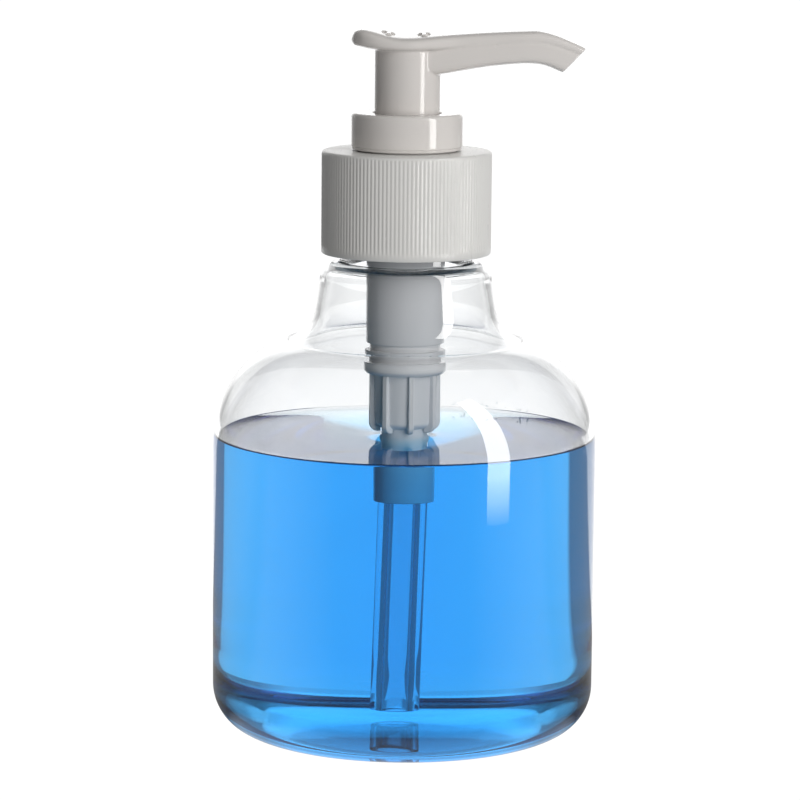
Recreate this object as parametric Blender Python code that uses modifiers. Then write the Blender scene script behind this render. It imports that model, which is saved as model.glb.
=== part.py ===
"""Soap pump dispenser: a clear round bottle of liquid soap with a spring-return pump on it.

The bottle stands on z = 0 with its axis on Z, and the spout points along +X.
Sizes are written in millimetres, and MM turns them into metres as each shape is made.
Outlines of turned pieces are (radius, height) pairs that run down the outside, from top to bottom.
"""
import math

import bmesh
import bpy
from mathutils import Matrix, Vector

MM = 0.001
GAP = 0.3            # clearance kept between pieces that touch on the real object

# Bottle
BODY_RADIUS = 36.3
WALL = 1.0
HEEL_HEIGHT = 8.6    # where the straight side turns into the base
FOOT_OUTER = 28.3    # flat ring that the bottle stands on
FOOT_RISE = ((25.0, 0.0), (21.5, 0.4), (20.0, 1.5))   # from the flat ring up to the raised middle
PUSH_UP = 2.2        # height of the raised middle of the base
FLOOR_Z = 3.4        # inside floor, at the middle
FLOOR_SLOPE = ((16.0, 2.9), (22.0, 2.3))              # inside floor, from the middle outwards
INNER_HEEL = (27.0, 1.7)                              # lowest circle of the inside
INNER_HEEL_TOP = 9.4
DOME_Z = 54.5        # where the straight side turns into the dome
DOME_RADIUS = 18.2   # radial size of the dome's rounding
DOME_HEIGHT = 20.8
NECK_FOOT = ((17.2, 80.0), (17.7, 75.6), (21.6, 74.9))       # wide neck down into the dome
NECK_SHOULDER = ((14.4, 89.7), (15.6, 89.7), (16.1, 87.4))   # shelf under the closure, into the wide neck
INNER_NECK_FOOT = ((20.0, 74.1), (16.6, 75.4), (15.8, 80.0))
INNER_SHOULDER = ((15.0, 86.2), (14.9, 88.0), (13.4, 88.0))
FINISH_RADIUS = 12.55
BORE_RADIUS = 10.85
LAND_Z = 106.3       # sealing land at the mouth
LIQUID_Z = 56.0

# Screw thread: a 28 mm, one and a half turn finish, six threads to the inch
THREAD_LEAD = 25.4 / 6
THREAD_TURNS = 1.5
THREAD_START_Z = 96.0
NECK_BEAD = 1.15     # radius of the rounded thread bead on the neck
CLOSURE_BEAD = 1.05

# Closure
CLOSURE_RADIUS = 16.0
CLOSURE_BOTTOM = 91.3
CLOSURE_TOP = 110.6
CLOSURE_INSIDE = 14.15
CLOSURE_HOLE = 9.6
TOP_WALL = 1.3

# Pump housing
FLANGE_RADIUS = 12.8
FLANGE_TOP = CLOSURE_TOP - TOP_WALL - GAP
FLANGE_THICKNESS = 1.1
RIM_TOP = 113.0
SLEEVE_RADIUS = 8.5
SLEEVE_BORE = 7.6
BARREL_RADIUS = 7.4
BARREL_BORE = 6.2
BARREL_BOTTOM = 73.5
GROOVE_RADIUS = 6.75
GROOVE_BOTTOM = 71.5
RING_RADIUS = 7.7
RING_BOTTOM = 68.8
SPRING_LEDGE_Z = 69.6
CORE_RADIUS = 5.6
CORE_BOTTOM = 58.2
CHAMBER_RADIUS = 3.6
SEAT_TOP = 61.9
SEAT_BOTTOM = 60.2
INLET_RADIUS = 1.5
SOCKET_RADIUS = 4.3
SOCKET_BORE = 3.8
SOCKET_TOP = 58.6
SOCKET_BOTTOM = 45.4
FIN_COUNT = 8
FIN_RADIUS = 6.8
FIN_THICKNESS = 0.9
FIN_BOTTOM = 57.4
FIN_CORNER = 1.6
FIN_PHASE = 11.0     # degrees from the front to the nearest fin
LUG_COUNT = 4
LUG_SIZE = (2.2, 1.2, 1.0)   # along the radius, across, and high
LUG_INNER = 1.9
LUG_BOTTOM = 66.4

# Dip tube
TUBE_RADIUS = 3.5
TUBE_BORE = 2.5
TUBE_TOP = 58.0
TUBE_BOTTOM = 4.9
TUBE_PIVOT_Z = 51.7  # the tube leans about the middle of its socket
TUBE_LEAN = 1.3      # degrees, towards -X at the bottom

# Moving insides
BALL_RADIUS = 2.2
BALL_Z = 62.05
ROD_RADIUS = 1.6
ROD_TOP = 112.0
SEAT_FLANGE_RADIUS = 5.3
SEAT_FLANGE_BOTTOM = 93.3
SEAT_FLANGE_TOP = 94.3
NUB_TOP_RADIUS = 3.9         # the nub under the flange centres the spring
NUB_BOTTOM_RADIUS = 3.4
NUB_HEIGHT = 2.8
STEM_RADIUS = 3.1
STEM_BORE = 2.0
STEM_BOTTOM = 102.5
STEM_TOP = 125.7
PISTON_BOTTOM = SEAT_FLANGE_TOP + GAP
PISTON_TOP = 101.0
PISTON_RADIUS = 5.9
PISTON_SLEEVE = 3.3
PISTON_WEB = (97.8, 98.8)    # bottom and top of the web between sleeve and lip
PISTON_LIP = (96.0, 100.5)
PISTON_LIP_WALL = 0.8
SPRING_WIRE = 0.45   # radius of the wire
SPRING_RADIUS = 4.9
SPRING_TURNS = 8.5
SPRING_BOTTOM = SPRING_LEDGE_Z + SPRING_WIRE + 0.2
SPRING_TOP = SEAT_FLANGE_BOTTOM - SPRING_WIRE - 0.2

# Collar
COLLAR_RADIUS = 10.45
COLLAR_TOP = 117.7
COLLAR_BOTTOM = CLOSURE_TOP + GAP
COLLAR_BORE = 6.5
CUP_RADIUS = SLEEVE_BORE - GAP
CUP_BOTTOM = 102.8
CUP_FLOOR = 104.0
STEM_HOLE = 3.5

# Actuator
SKIRT_RADIUS = 6.13
SKIRT_BORE = 5.1
SKIRT_BOTTOM = 114.8
SKIRT_TOP = 129.5
STEM_SOCKET_BOTTOM = 119.5
STEM_SOCKET_RADIUS = 3.4
DUCT_RADIUS = 1.4
DUCT_LINE = ((-0.8, 128.0), (20.0, 131.6), (35.0, 126.9))   # (x, z): start, corner, past the mouth
SPOUT_HALF_WIDTH = 4.2
SPOUT_ROUNDING = 1.0
SPOUT_SIDE = (       # (x, z, handle type), from over the skirt out to the mouth and back
    (-4.0, 129.6, "VECTOR"), (12.0, 130.2, "AUTO"), (23.9, 131.0, "AUTO"), (33.0, 129.9, "VECTOR"),
    (28.8, 125.6, "VECTOR"), (25.4, 126.9, "AUTO"), (22.3, 127.2, "AUTO"), (15.2, 126.6, "AUTO"),
    (6.2, 125.1, "AUTO"), (-4.0, 125.0, "VECTOR"))
HEAD_SIDE = (        # (x, z, handle type), from the thumb tab over the top to the spout's tip and back
    (-10.5, 130.9, "AUTO"), (-8.9, 133.2, "AUTO"), (-5.9, 132.8, "AUTO"), (-1.9, 132.0, "AUTO"),
    (5.9, 132.4, "AUTO"), (15.2, 133.0, "AUTO"), (23.9, 133.3, "AUTO"), (27.6, 132.5, "AUTO"),
    (33.2, 130.1, "VECTOR"), (32.2, 129.2, "VECTOR"), (23.9, 130.3, "AUTO"), (12.0, 129.4, "AUTO"),
    (-1.3, 128.8, "AUTO"), (-8.0, 129.3, "AUTO"))
HEAD_PLAN = (        # (x, y, handle type), round the head as seen from above
    (-10.6, 0.0, "AUTO"), (-7.6, -5.6, "AUTO"), (0.0, -7.4, "AUTO"), (9.0, -6.2, "AUTO"),
    (22.0, -4.4, "AUTO"), (34.0, -3.7, "VECTOR"), (34.0, 3.7, "VECTOR"), (22.0, 4.4, "AUTO"),
    (9.0, 6.2, "AUTO"), (0.0, 7.4, "AUTO"), (-7.6, 5.6, "AUTO"))

PARTS = "soap_pump_dispenser"
CUTTERS = "cutters"


def clear_scene():
    """Remove every object that the file opened with."""
    for item in list(bpy.data.objects):
        bpy.data.objects.remove(item, do_unlink=True)


def collection(name):
    """The named collection, made and linked on first use."""
    found = bpy.data.collections.get(name)
    if found is None:
        found = bpy.data.collections.new(name)
        bpy.context.scene.collection.children.link(found)
    return found


def material(name, colour, roughness, metallic=0.0, alpha=1.0):
    """A Principled material of one piece."""
    made = bpy.data.materials.new(name)
    made.use_nodes = True
    shader = made.node_tree.nodes["Principled BSDF"]
    shader.inputs["Base Color"].default_value = (*colour, 1.0)
    shader.inputs["Roughness"].default_value = roughness
    shader.inputs["Metallic"].default_value = metallic
    shader.inputs["Alpha"].default_value = alpha
    made.diffuse_color = (*colour, alpha)
    return made


def place(name, data, group=PARTS):
    """Link new data as an object of the part, or as a guide that the part leaves out."""
    item = bpy.data.objects.new(name, data)
    collection(group).objects.link(item)
    if group == CUTTERS:
        item.hide_render = True
        item.display_type = "WIRE"
    return item


def arc(centre, radii, start, end, count):
    """Points on an ellipse about centre, from start to end in degrees, both ends included."""
    points = []
    for step in range(count + 1):
        angle = math.radians(start + (end - start) * step / count)
        x = centre[0] + radii[0] * math.cos(angle)
        z = centre[1] + radii[1] * math.sin(angle)
        points.append((x, z))
    return points


def bend(start, corner, end, count):
    """Points on a smooth bend that leaves start towards corner and arrives at end from it."""
    points = []
    for step in range(count + 1):
        t = step / count
        weights = ((1 - t) ** 2, 2 * t * (1 - t), t ** 2)
        x = weights[0] * start[0] + weights[1] * corner[0] + weights[2] * end[0]
        z = weights[0] * start[1] + weights[1] * corner[1] + weights[2] * end[1]
        points.append((x, z))
    return points


def turned(name, outline, steps, closed=True, group=PARTS):
    """Turn an outline about Z. A closed outline makes a ring, an open one ends on the axis."""
    mesh = bpy.data.meshes.new(name)
    corners = [(x * MM, 0.0, z * MM) for x, z in outline]
    edges = [(i, i + 1) for i in range(len(outline) - 1)]
    if closed:
        edges.append((len(outline) - 1, 0))
    mesh.from_pydata(corners, edges, [])
    item = place(name, mesh, group)
    screw = item.modifiers.new("turn", "SCREW")
    screw.axis = "Z"
    screw.angle = math.tau
    screw.steps = steps
    screw.render_steps = steps
    screw.use_merge_vertices = True
    screw.merge_threshold = 0.00001
    screw.use_smooth_shade = True
    return item


def wire(name, points, radius, resolution=2, group=PARTS):
    """A round wire or bead of the given radius along a line of points, with filled ends."""
    curve = bpy.data.curves.new(name, "CURVE")
    curve.dimensions = "3D"
    curve.bevel_depth = radius * MM
    curve.bevel_resolution = resolution
    curve.use_fill_caps = True
    spline = curve.splines.new("POLY")
    spline.points.add(len(points) - 1)
    for place_in_spline, point in zip(spline.points, points):
        place_in_spline.co = (point[0] * MM, point[1] * MM, point[2] * MM, 1.0)
    return place(name, curve, group)


def slab(name, outline, half_thickness, group=PARTS):
    """A flat outline with the given half thickness. A point is (x, y, handle type)."""
    curve = bpy.data.curves.new(name, "CURVE")
    curve.dimensions = "2D"
    curve.fill_mode = "BOTH"
    curve.extrude = half_thickness * MM
    curve.resolution_u = 4
    spline = curve.splines.new("BEZIER")
    spline.bezier_points.add(len(outline) - 1)
    for knot, (x, y, handle) in zip(spline.bezier_points, outline):
        knot.co = (x * MM, y * MM, 0.0)
        knot.handle_left_type = handle
        knot.handle_right_type = handle
    spline.use_cyclic_u = True
    return place(name, curve, group)


def as_mesh(curve_item, group=PARTS):
    """The same shape as a mesh object with welded caps, ready to cut or to be joined."""
    bpy.context.view_layer.update()
    graph = bpy.context.evaluated_depsgraph_get()
    mesh = bpy.data.meshes.new_from_object(curve_item.evaluated_get(graph))
    shape = bmesh.new()
    shape.from_mesh(mesh)
    bmesh.ops.remove_doubles(shape, verts=shape.verts, dist=0.000001)
    bmesh.ops.recalc_face_normals(shape, faces=shape.faces)
    shape.to_mesh(mesh)
    shape.free()
    name = curve_item.name
    world = curve_item.matrix_world.copy()
    bpy.data.objects.remove(curve_item, do_unlink=True)
    item = place(name, mesh, group)
    item.matrix_world = world
    return item


def boolean(item, other, operation):
    """Join another shape to a piece, cut it away, or keep what both share."""
    modifier = item.modifiers.new(operation.lower() + "_" + other.name, "BOOLEAN")
    modifier.operation = operation
    modifier.object = other
    modifier.solver = "EXACT"


def cylinder(name, radius, bottom, top, steps=32, group=CUTTERS):
    """A plain cylinder on the Z axis."""
    outline = [(0.0, top), (radius, top), (radius, bottom), (0.0, bottom)]
    return turned(name, outline, steps, closed=False, group=group)


def block(name, size, middle, turn=0.0, group=CUTTERS):
    """A box of the given size, turned about Z by some degrees after it is placed."""
    mesh = bpy.data.meshes.new(name)
    shape = bmesh.new()
    bmesh.ops.create_cube(shape, size=1.0)
    bmesh.ops.scale(shape, vec=Vector(size) * MM, verts=shape.verts)
    bmesh.ops.translate(shape, vec=Vector(middle) * MM, verts=shape.verts)
    shape.to_mesh(mesh)
    shape.free()
    item = place(name, mesh, group)
    item.rotation_euler.z = math.radians(turn)
    return item


def thread_bead(name, radius, bead, start_z):
    """A right-handed helical bead of the screw thread."""
    points = []
    count = round(THREAD_TURNS * 20)
    for step in range(count + 1):
        turn = THREAD_TURNS * step / count
        angle = turn * math.tau
        points.append((radius * math.cos(angle), radius * math.sin(angle), start_z + THREAD_LEAD * turn))
    return as_mesh(wire(name, points, bead, 1, CUTTERS), CUTTERS)


def bottle_inside(inset, top):
    """The bottle's inside surface, pulled in by inset, from the middle of the floor up to top."""
    heel = (INNER_HEEL[0], INNER_HEEL[1] + inset)
    heel_size = (BODY_RADIUS - WALL - inset - heel[0], INNER_HEEL_TOP - heel[1])
    slope = [(radius, z + inset) for radius, z in FLOOR_SLOPE]
    points = [(0.0, FLOOR_Z + inset), slope[0]]
    points += bend(slope[1], (24.5, heel[1]), heel, 3)
    points += arc((heel[0], INNER_HEEL_TOP), heel_size, -75, 0, 5)
    if top <= DOME_Z + DOME_HEIGHT / 2:
        rise = (top - DOME_Z) / (DOME_HEIGHT - WALL - inset)
        points += arc((BODY_RADIUS - DOME_RADIUS, DOME_Z),
                      (DOME_RADIUS - WALL - inset, DOME_HEIGHT - WALL - inset),
                      0, math.degrees(math.asin(rise)), 1)
    return points


def make_bottle():
    """Blow-moulded bottle with a domed shoulder, a wide neck and a threaded finish."""
    dome_centre = (BODY_RADIUS - DOME_RADIUS, DOME_Z)
    outside = [(FINISH_RADIUS - 0.5, LAND_Z), (FINISH_RADIUS, LAND_Z - 0.5)]
    outside += [(FINISH_RADIUS, NECK_SHOULDER[0][1])]
    outside += bend(*NECK_SHOULDER, 4)
    outside += bend(*NECK_FOOT, 5)
    outside += arc(dome_centre, (DOME_RADIUS, DOME_HEIGHT), 75, 0, 9)
    outside += [(BODY_RADIUS, (DOME_Z + HEEL_HEIGHT) / 2)]
    outside += arc((FOOT_OUTER, HEEL_HEIGHT), (BODY_RADIUS - FOOT_OUTER, HEEL_HEIGHT), 0, -90, 6)
    outside += bend(*FOOT_RISE, 3)
    outside += [(0.0, PUSH_UP)]
    inside = bottle_inside(0.0, DOME_Z)
    inside += arc(dome_centre, (DOME_RADIUS - WALL, DOME_HEIGHT - WALL), 10, 75, 6)
    inside += bend(*INNER_NECK_FOOT, 4)
    inside += bend(*INNER_SHOULDER, 3)
    inside += [(BORE_RADIUS + 0.6, 88.2), (BORE_RADIUS, 89.0), (BORE_RADIUS, LAND_Z)]
    item = turned("bottle", inside + outside, 40, closed=False)
    bead = thread_bead("neck_thread", FINISH_RADIUS + 0.05, NECK_BEAD, THREAD_START_Z)
    boolean(item, bead, "UNION")
    item.data.materials.append(material("clear_plastic", (0.86, 0.9, 0.93), 0.05, alpha=0.35))
    return item


def make_soap():
    """The liquid that fills the lower part of the bottle, open round the dip tube and its socket."""
    top = [(0.0, LIQUID_Z)]
    surface_up = bottle_inside(GAP, LIQUID_Z)
    item = turned("soap_fill", surface_up + top, 40, closed=False)
    socket_space = cylinder("socket_space", SOCKET_RADIUS + GAP, SOCKET_BOTTOM - 2 * GAP, LIQUID_Z + 10.0)
    boolean(item, socket_space, "DIFFERENCE")
    tube_space = cylinder("tube_space", TUBE_RADIUS + 2 * GAP, TUBE_BOTTOM - 2 * GAP, TUBE_TOP, 24)
    lean(tube_space)
    boolean(item, tube_space, "DIFFERENCE")
    item.data.materials.append(material("blue_soap", (0.04, 0.32, 0.95), 0.03, alpha=0.6))
    return item


def lean(item):
    """Tip a piece about the dip tube's pivot, so that its lower end moves towards -X."""
    pivot = Vector((0.0, 0.0, TUBE_PIVOT_Z * MM))
    tilt = Matrix.Rotation(math.radians(TUBE_LEAN), 4, "Y")
    item.matrix_world = Matrix.Translation(pivot) @ tilt @ Matrix.Translation(-pivot)


def make_dip_tube():
    """Straight plastic tube pushed into the housing's socket."""
    outline = [(TUBE_BORE, TUBE_TOP), (TUBE_RADIUS, TUBE_TOP)]
    outline += [(TUBE_RADIUS, TUBE_BOTTOM), (TUBE_BORE, TUBE_BOTTOM)]
    item = turned("dip_tube", outline, 24)
    lean(item)
    item.data.materials.append(material("milky_tube", (0.8, 0.85, 0.9), 0.25, alpha=0.6))
    return item


def make_closure():
    """Screw closure: a cup with a hole in its top that the pump passes through."""
    edge = 0.8
    inner_top = CLOSURE_TOP - TOP_WALL
    outline = [(CLOSURE_HOLE, CLOSURE_TOP)]
    outline += arc((CLOSURE_RADIUS - edge, CLOSURE_TOP - edge), (edge, edge), 90, 0, 3)
    outline += [(CLOSURE_RADIUS, CLOSURE_BOTTOM), (CLOSURE_INSIDE, CLOSURE_BOTTOM)]
    outline += [(CLOSURE_INSIDE, inner_top), (CLOSURE_HOLE, inner_top)]
    item = turned("closure", outline, 40)
    start = THREAD_START_Z - THREAD_LEAD / 2
    bead = thread_bead("closure_thread", CLOSURE_INSIDE, CLOSURE_BEAD, start)
    boolean(item, bead, "UNION")
    item.data.materials.append(material("white_closure", (0.83, 0.83, 0.82), 0.35))
    return item


def make_gasket():
    """Flat soft ring clamped between the bottle's land and the housing's flange."""
    top = FLANGE_TOP - FLANGE_THICKNESS - GAP
    bottom = LAND_Z + GAP
    outline = [(SLEEVE_RADIUS + 0.4, top), (FLANGE_RADIUS - 0.2, top)]
    outline += [(FLANGE_RADIUS - 0.2, bottom), (SLEEVE_RADIUS + 0.4, bottom)]
    item = turned("neck_gasket", outline, 32)
    item.data.materials.append(material("gasket_foam", (0.75, 0.76, 0.76), 0.7))
    return item


def make_housing():
    """Pump cylinder: rim and flange, barrel, finned valve chamber and dip tube socket."""
    flange_bottom = FLANGE_TOP - FLANGE_THICKNESS
    outside = [(SLEEVE_RADIUS, RIM_TOP), (SLEEVE_RADIUS, FLANGE_TOP), (FLANGE_RADIUS, FLANGE_TOP)]
    outside += [(FLANGE_RADIUS, flange_bottom), (SLEEVE_RADIUS, flange_bottom)]
    outside += [(SLEEVE_RADIUS, 101.6), (BARREL_RADIUS, 100.4)]
    outside += [(BARREL_RADIUS, BARREL_BOTTOM + 0.3), (BARREL_RADIUS - 0.3, BARREL_BOTTOM)]
    outside += [(GROOVE_RADIUS, BARREL_BOTTOM), (GROOVE_RADIUS, GROOVE_BOTTOM), (RING_RADIUS, GROOVE_BOTTOM)]
    outside += [(RING_RADIUS, RING_BOTTOM + 0.6), (RING_RADIUS - 0.6, RING_BOTTOM)]
    outside += [(CORE_RADIUS, RING_BOTTOM), (CORE_RADIUS, CORE_BOTTOM + 0.8)]
    outside += [(CORE_RADIUS - 0.8, CORE_BOTTOM), (SOCKET_RADIUS, CORE_BOTTOM)]
    outside += [(SOCKET_RADIUS, SOCKET_BOTTOM + 0.4), (SOCKET_RADIUS - 0.2, SOCKET_BOTTOM)]
    inside = [(SOCKET_BORE, SOCKET_BOTTOM), (SOCKET_BORE, SOCKET_TOP), (INLET_RADIUS, SOCKET_TOP)]
    inside += [(INLET_RADIUS, SEAT_BOTTOM), (CHAMBER_RADIUS, SEAT_TOP), (CHAMBER_RADIUS, SPRING_LEDGE_Z)]
    inside += [(BARREL_BORE, SPRING_LEDGE_Z), (BARREL_BORE, 101.5)]
    inside += [(SLEEVE_BORE, 102.2), (SLEEVE_BORE, RIM_TOP)]
    item = turned("housing", outside + inside, 32)
    for number in range(FIN_COUNT):
        boolean(item, make_fin(number), "UNION")
    for number in range(LUG_COUNT):
        boolean(item, make_lug(number), "UNION")
    item.data.materials.append(material("natural_housing", (0.72, 0.76, 0.8), 0.3))
    return item


def make_fin(number):
    """One upright fin of the valve chamber, rooted in the chamber's wall, with a rounded foot."""
    root = CHAMBER_RADIUS + 1.0
    outline = [(root, RING_BOTTOM + 0.5, "VECTOR"), (FIN_RADIUS, RING_BOTTOM + 0.5, "VECTOR")]
    outline += [(FIN_RADIUS, FIN_BOTTOM + FIN_CORNER, "ALIGNED")]
    outline += [(FIN_RADIUS - FIN_CORNER, FIN_BOTTOM, "ALIGNED")]
    outline += [(root, FIN_BOTTOM, "VECTOR")]
    fin = slab("fin_%d" % number, outline, FIN_THICKNESS / 2, CUTTERS)
    set_corner(fin, 2, (FIN_RADIUS, FIN_BOTTOM))
    turn = math.radians(FIN_PHASE - 90.0 + 360.0 * number / FIN_COUNT)
    fin.matrix_world = Matrix.Rotation(turn, 4, "Z") @ Matrix.Rotation(math.pi / 2, 4, "X")
    return as_mesh(fin, CUTTERS)


def set_corner(curve_item, first, corner):
    """Round the stretch from knot first to the next one, with both handles towards the corner."""
    knots = curve_item.data.splines[0].bezier_points
    target = Vector((corner[0] * MM, corner[1] * MM, 0.0))
    reach = 0.55
    for knot, side in ((knots[first], "right"), (knots[first + 1], "left")):
        knot.handle_left_type = "FREE"
        knot.handle_right_type = "FREE"
        handle = knot.co.lerp(target, reach)
        if side == "right":
            knot.handle_right = handle
            knot.handle_left = knot.co.copy()
        else:
            knot.handle_left = handle
            knot.handle_right = knot.co.copy()


def make_lug(number):
    """One small lug over the ball, which keeps it in its chamber and lets the soap past."""
    middle = (LUG_INNER + LUG_SIZE[0] / 2, 0.0, LUG_BOTTOM + LUG_SIZE[2] / 2)
    return block("lug_%d" % number, LUG_SIZE, middle, 45.0 + 360.0 * number / LUG_COUNT)


def make_ball():
    """Ball of the inlet valve, resting on its seat."""
    mesh = bpy.data.meshes.new("inlet_ball")
    shape = bmesh.new()
    bmesh.ops.create_uvsphere(shape, u_segments=20, v_segments=12, radius=BALL_RADIUS * MM)
    for face in shape.faces:
        face.smooth = True
    shape.to_mesh(mesh)
    shape.free()
    item = place("inlet_ball", mesh)
    item.location.z = BALL_Z * MM
    item.data.materials.append(material("ball_steel", (0.6, 0.6, 0.62), 0.15, metallic=1.0))
    return item


def make_spring():
    """Return spring with closed end coils."""
    count = round(SPRING_TURNS * 12)
    closed_share = 1.0 / SPRING_TURNS
    points = []
    for step in range(count + 1):
        share = step / count
        angle = share * SPRING_TURNS * math.tau
        ramp = min(max((share - closed_share) / (1.0 - 2.0 * closed_share), 0.0), 1.0)
        closed_rise = 2.2 * SPRING_WIRE
        height = SPRING_BOTTOM + closed_rise * min(share / closed_share, 1.0)
        height += (SPRING_TOP - SPRING_BOTTOM - 2.0 * closed_rise) * ramp
        height += closed_rise * max((share - 1.0 + closed_share) / closed_share, 0.0)
        points.append((SPRING_RADIUS * math.cos(angle), SPRING_RADIUS * math.sin(angle), height))
    item = wire("return_spring", points, SPRING_WIRE)
    item.data.materials.append(material("spring_steel", (0.62, 0.62, 0.64), 0.25, metallic=1.0))
    return item


def make_valve_rod():
    """Rod held in the stem, with the seat flange that carries the spring and closes the piston."""
    outline = [(0.0, ROD_TOP), (ROD_RADIUS - 0.4, ROD_TOP), (ROD_RADIUS, ROD_TOP - 1.0)]
    outline += [(ROD_RADIUS, SEAT_FLANGE_TOP), (SEAT_FLANGE_RADIUS, SEAT_FLANGE_TOP)]
    nub_bottom = SEAT_FLANGE_BOTTOM - NUB_HEIGHT
    outline += [(SEAT_FLANGE_RADIUS, SEAT_FLANGE_BOTTOM), (NUB_TOP_RADIUS, SEAT_FLANGE_BOTTOM)]
    outline += [(NUB_BOTTOM_RADIUS, nub_bottom), (0.0, nub_bottom)]
    item = turned("valve_rod", outline, 24, closed=False)
    item.data.materials.append(material("rod_plastic", (0.8, 0.8, 0.8), 0.4))
    return item


def make_piston():
    """Soft piston: an inner sleeve round the rod, a web, and a lip that seals in the barrel."""
    bore = STEM_BORE + 0.1
    lip_bottom, lip_top = PISTON_LIP
    web_bottom, web_top = PISTON_WEB
    lip_root = PISTON_RADIUS - PISTON_LIP_WALL
    lip_edge = PISTON_RADIUS - PISTON_LIP_WALL / 2
    outline = [(bore, PISTON_TOP), (PISTON_SLEEVE, PISTON_TOP), (PISTON_SLEEVE, web_top)]
    outline += [(lip_root, web_top), (lip_edge, lip_top), (PISTON_RADIUS, lip_top)]
    outline += [(PISTON_RADIUS - 0.3, web_bottom), (PISTON_RADIUS, lip_bottom), (lip_edge, lip_bottom)]
    outline += [(lip_root, web_bottom), (PISTON_SLEEVE, web_bottom)]
    outline += [(PISTON_SLEEVE, PISTON_BOTTOM), (bore, PISTON_BOTTOM)]
    item = turned("piston", outline, 24)
    item.data.materials.append(material("soft_piston", (0.82, 0.84, 0.86), 0.45))
    return item


def make_stem():
    """Hollow stem that carries the soap up from the piston into the actuator."""
    outline = [(STEM_BORE, STEM_TOP), (STEM_RADIUS - 0.3, STEM_TOP), (STEM_RADIUS, STEM_TOP - 0.5)]
    outline += [(STEM_RADIUS, STEM_BOTTOM), (STEM_BORE, STEM_BOTTOM)]
    item = turned("stem", outline, 24)
    item.data.materials.append(material("stem_plastic", (0.82, 0.82, 0.81), 0.35))
    return item


def make_collar():
    """Collar that snaps on the housing's rim, holds the closure on, and guides the skirt and stem."""
    edge = 1.0
    sleeve_outer = CLOSURE_HOLE - GAP
    sleeve_inner = SLEEVE_RADIUS + GAP
    outline = [(COLLAR_BORE, COLLAR_TOP - 0.3), (COLLAR_BORE + 0.3, COLLAR_TOP)]
    outline += arc((COLLAR_RADIUS - edge, COLLAR_TOP - edge), (edge, edge), 90, 0, 4)
    outline += [(COLLAR_RADIUS, COLLAR_BOTTOM), (sleeve_outer, COLLAR_BOTTOM)]
    outline += [(sleeve_outer, FLANGE_TOP + GAP), (sleeve_inner, FLANGE_TOP + GAP)]
    outline += [(sleeve_inner, RIM_TOP + GAP), (CUP_RADIUS, RIM_TOP + GAP)]
    outline += [(CUP_RADIUS, CUP_BOTTOM), (STEM_HOLE, CUP_BOTTOM)]
    outline += [(STEM_HOLE, CUP_FLOOR), (COLLAR_BORE, CUP_FLOOR)]
    item = turned("collar", outline, 32)
    item.data.materials.append(material("white_collar", (0.84, 0.84, 0.83), 0.3))
    return item


def make_stem_seal():
    """Soft wiper ring on the collar's floor, round the stem."""
    bottom = CUP_FLOOR + GAP
    ring_top = bottom + 0.9
    lip_top = bottom + 1.8
    outline = [(STEM_RADIUS + GAP, lip_top), (STEM_RADIUS + 0.8, lip_top), (STEM_RADIUS + 1.2, ring_top)]
    outline += [(COLLAR_BORE - GAP, ring_top), (COLLAR_BORE - GAP, bottom), (STEM_RADIUS + GAP, bottom)]
    item = turned("stem_seal", outline, 24)
    item.data.materials.append(material("seal_rubber", (0.7, 0.7, 0.7), 0.6))
    return item


def upright(curve_item):
    """Stand a flat outline up, so that its y runs along Z."""
    curve_item.matrix_world = Matrix.Rotation(math.pi / 2, 4, "X")
    return as_mesh(curve_item, CUTTERS)


def make_head_plate():
    """The thin top of the actuator: thumb tab, saddle and the roof of the spout."""
    plate = upright(slab("head_side", HEAD_SIDE, 10.0, CUTTERS))
    plan = slab("head_plan", HEAD_PLAN, 6.0, CUTTERS)
    plan.location.z = 131.0 * MM
    boolean(plate, as_mesh(plan, CUTTERS), "INTERSECT")
    return plate


def make_spout():
    """The spout's body under the plate, with its mouth cut back at an angle."""
    spout = slab("spout_side", SPOUT_SIDE, SPOUT_HALF_WIDTH - SPOUT_ROUNDING, CUTTERS)
    spout.data.bevel_depth = SPOUT_ROUNDING * MM
    spout.data.bevel_resolution = 2
    spout.data.offset = -SPOUT_ROUNDING * MM
    return upright(spout)


def make_duct():
    """The duct's cutter: a round, gently arched bore from over the stem out of the spout's mouth."""
    points = [(x, 0.0, z) for x, z in bend(*DUCT_LINE, 8)]
    return as_mesh(wire("duct_space", points, DUCT_RADIUS, 4, CUTTERS), CUTTERS)


def make_actuator():
    """The pump's head: skirt, stem socket, saddle top and spout, with the duct through it."""
    item = cylinder("actuator", SKIRT_RADIUS, SKIRT_BOTTOM, SKIRT_TOP, group=PARTS)
    boolean(item, make_spout(), "UNION")
    boolean(item, make_head_plate(), "UNION")
    duct_z = DUCT_LINE[0][1]
    hollow = [(0.0, duct_z), (STEM_BORE, duct_z), (STEM_BORE, STEM_TOP + GAP)]
    hollow += [(STEM_SOCKET_RADIUS, STEM_TOP + GAP), (STEM_SOCKET_RADIUS, STEM_SOCKET_BOTTOM)]
    hollow += [(SKIRT_BORE, STEM_SOCKET_BOTTOM), (SKIRT_BORE, SKIRT_BOTTOM - 1.0), (0.0, SKIRT_BOTTOM - 1.0)]
    boolean(item, turned("stem_space", hollow, 32, closed=False, group=CUTTERS), "DIFFERENCE")
    boolean(item, make_duct(), "DIFFERENCE")
    item.data.materials.append(material("white_actuator", (0.85, 0.85, 0.84), 0.3))
    return item


def axis_empty(name, parent=None):
    """An empty on the pump's axis that stands for one moving group."""
    item = place(name, None)
    item.empty_display_size = 0.02
    item.parent = parent
    return item


def adopt(parent, items):
    """Parent pieces to an empty at the origin, which leaves them where they are."""
    for item in items:
        item.parent = parent


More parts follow.
